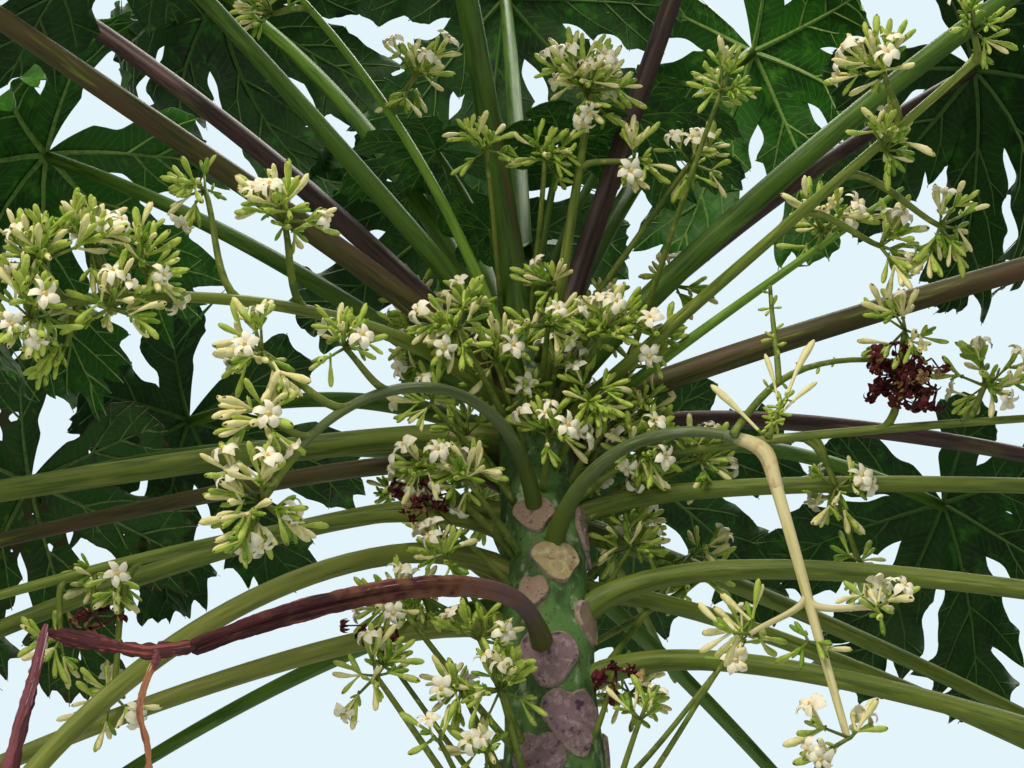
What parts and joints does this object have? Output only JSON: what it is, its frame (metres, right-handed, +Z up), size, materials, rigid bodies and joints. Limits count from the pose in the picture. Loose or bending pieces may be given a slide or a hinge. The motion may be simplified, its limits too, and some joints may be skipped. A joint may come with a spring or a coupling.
{
  "type": "papaya tree",
  "caption": "Male papaya tree in flower: a leaning stem, a crown of long-stalked lobed leaves, and long branching flower stalks with small white blossom.",
  "frame": {"origin": "middle of the flat cut under the stem, at ground level", "axes": "+Z up along the stem; the side seen in the picture faces -Y; the stem's tip leans towards -X"},
  "size_m": [2.1224, 1.554, 3.4812],
  "materials": {
    "stem": "matt green herbaceous stem with mauve and tan leaf scars",
    "leaf": "satin leaf with paler ribs and a green to purple-brown stalk",
    "flower_stalk": "satin yellow-green stalk with cream buds and white flowers",
    "dried_stalk": "dry, wrinkled and purple-brown"
  },
  "bodies": {
    "root": {"stem": "stem", "leaf_back_tall": "leaf", "leaf_front_tall": "leaf", "leaf_back_left_tall": "leaf", "leaf_back_right_tall": "leaf", "leaf_left_steep": "leaf", "leaf_right_tall": "leaf", "leaf_right_high_behind": "leaf", "leaf_back_high": "leaf", "leaf_left_purple": "leaf", "leaf_right_high": "leaf", "leaf_left_behind": "leaf", "leaf_back_middle": "leaf", "leaf_left_front": "leaf", "leaf_right_arching": "leaf", "leaf_back_left_middle": "leaf", "leaf_back_right_middle": "leaf", "leaf_left_level": "leaf", "leaf_right_level": "leaf", "leaf_left_back_spotted": "leaf", "leaf_left_low_behind": "leaf", "leaf_right_low": "leaf", "leaf_left_long": "leaf", "leaf_back_right_low": "leaf", "leaf_left_arched": "leaf", "leaf_back_right_lowest": "leaf", "leaf_left_low_dark": "leaf", "leaf_right_low_behind": "leaf", "leaf_right_arched": "leaf", "leaf_left_drooping": "leaf", "leaf_right_drooping": "leaf", "flower_stalk_front_left": "flower_stalk", "flower_stalk_front_centre": "flower_stalk", "flower_stalk_right_rising": "flower_stalk", "flower_stalk_right_lower": "flower_stalk", "flower_stalk_left_far": "flower_stalk", "flower_stalk_left_arch": "flower_stalk", "flower_stalk_left_long": "flower_stalk", "flower_stalk_right_arch": "flower_stalk", "flower_stalk_right_level": "flower_stalk", "flower_stalk_back_left": "flower_stalk", "flower_stalk_back_right": "flower_stalk", "flower_stalk_right_hanging": "flower_stalk", "dried_leaf_stalk": "dried_stalk"}
  },
  "joints": []
}
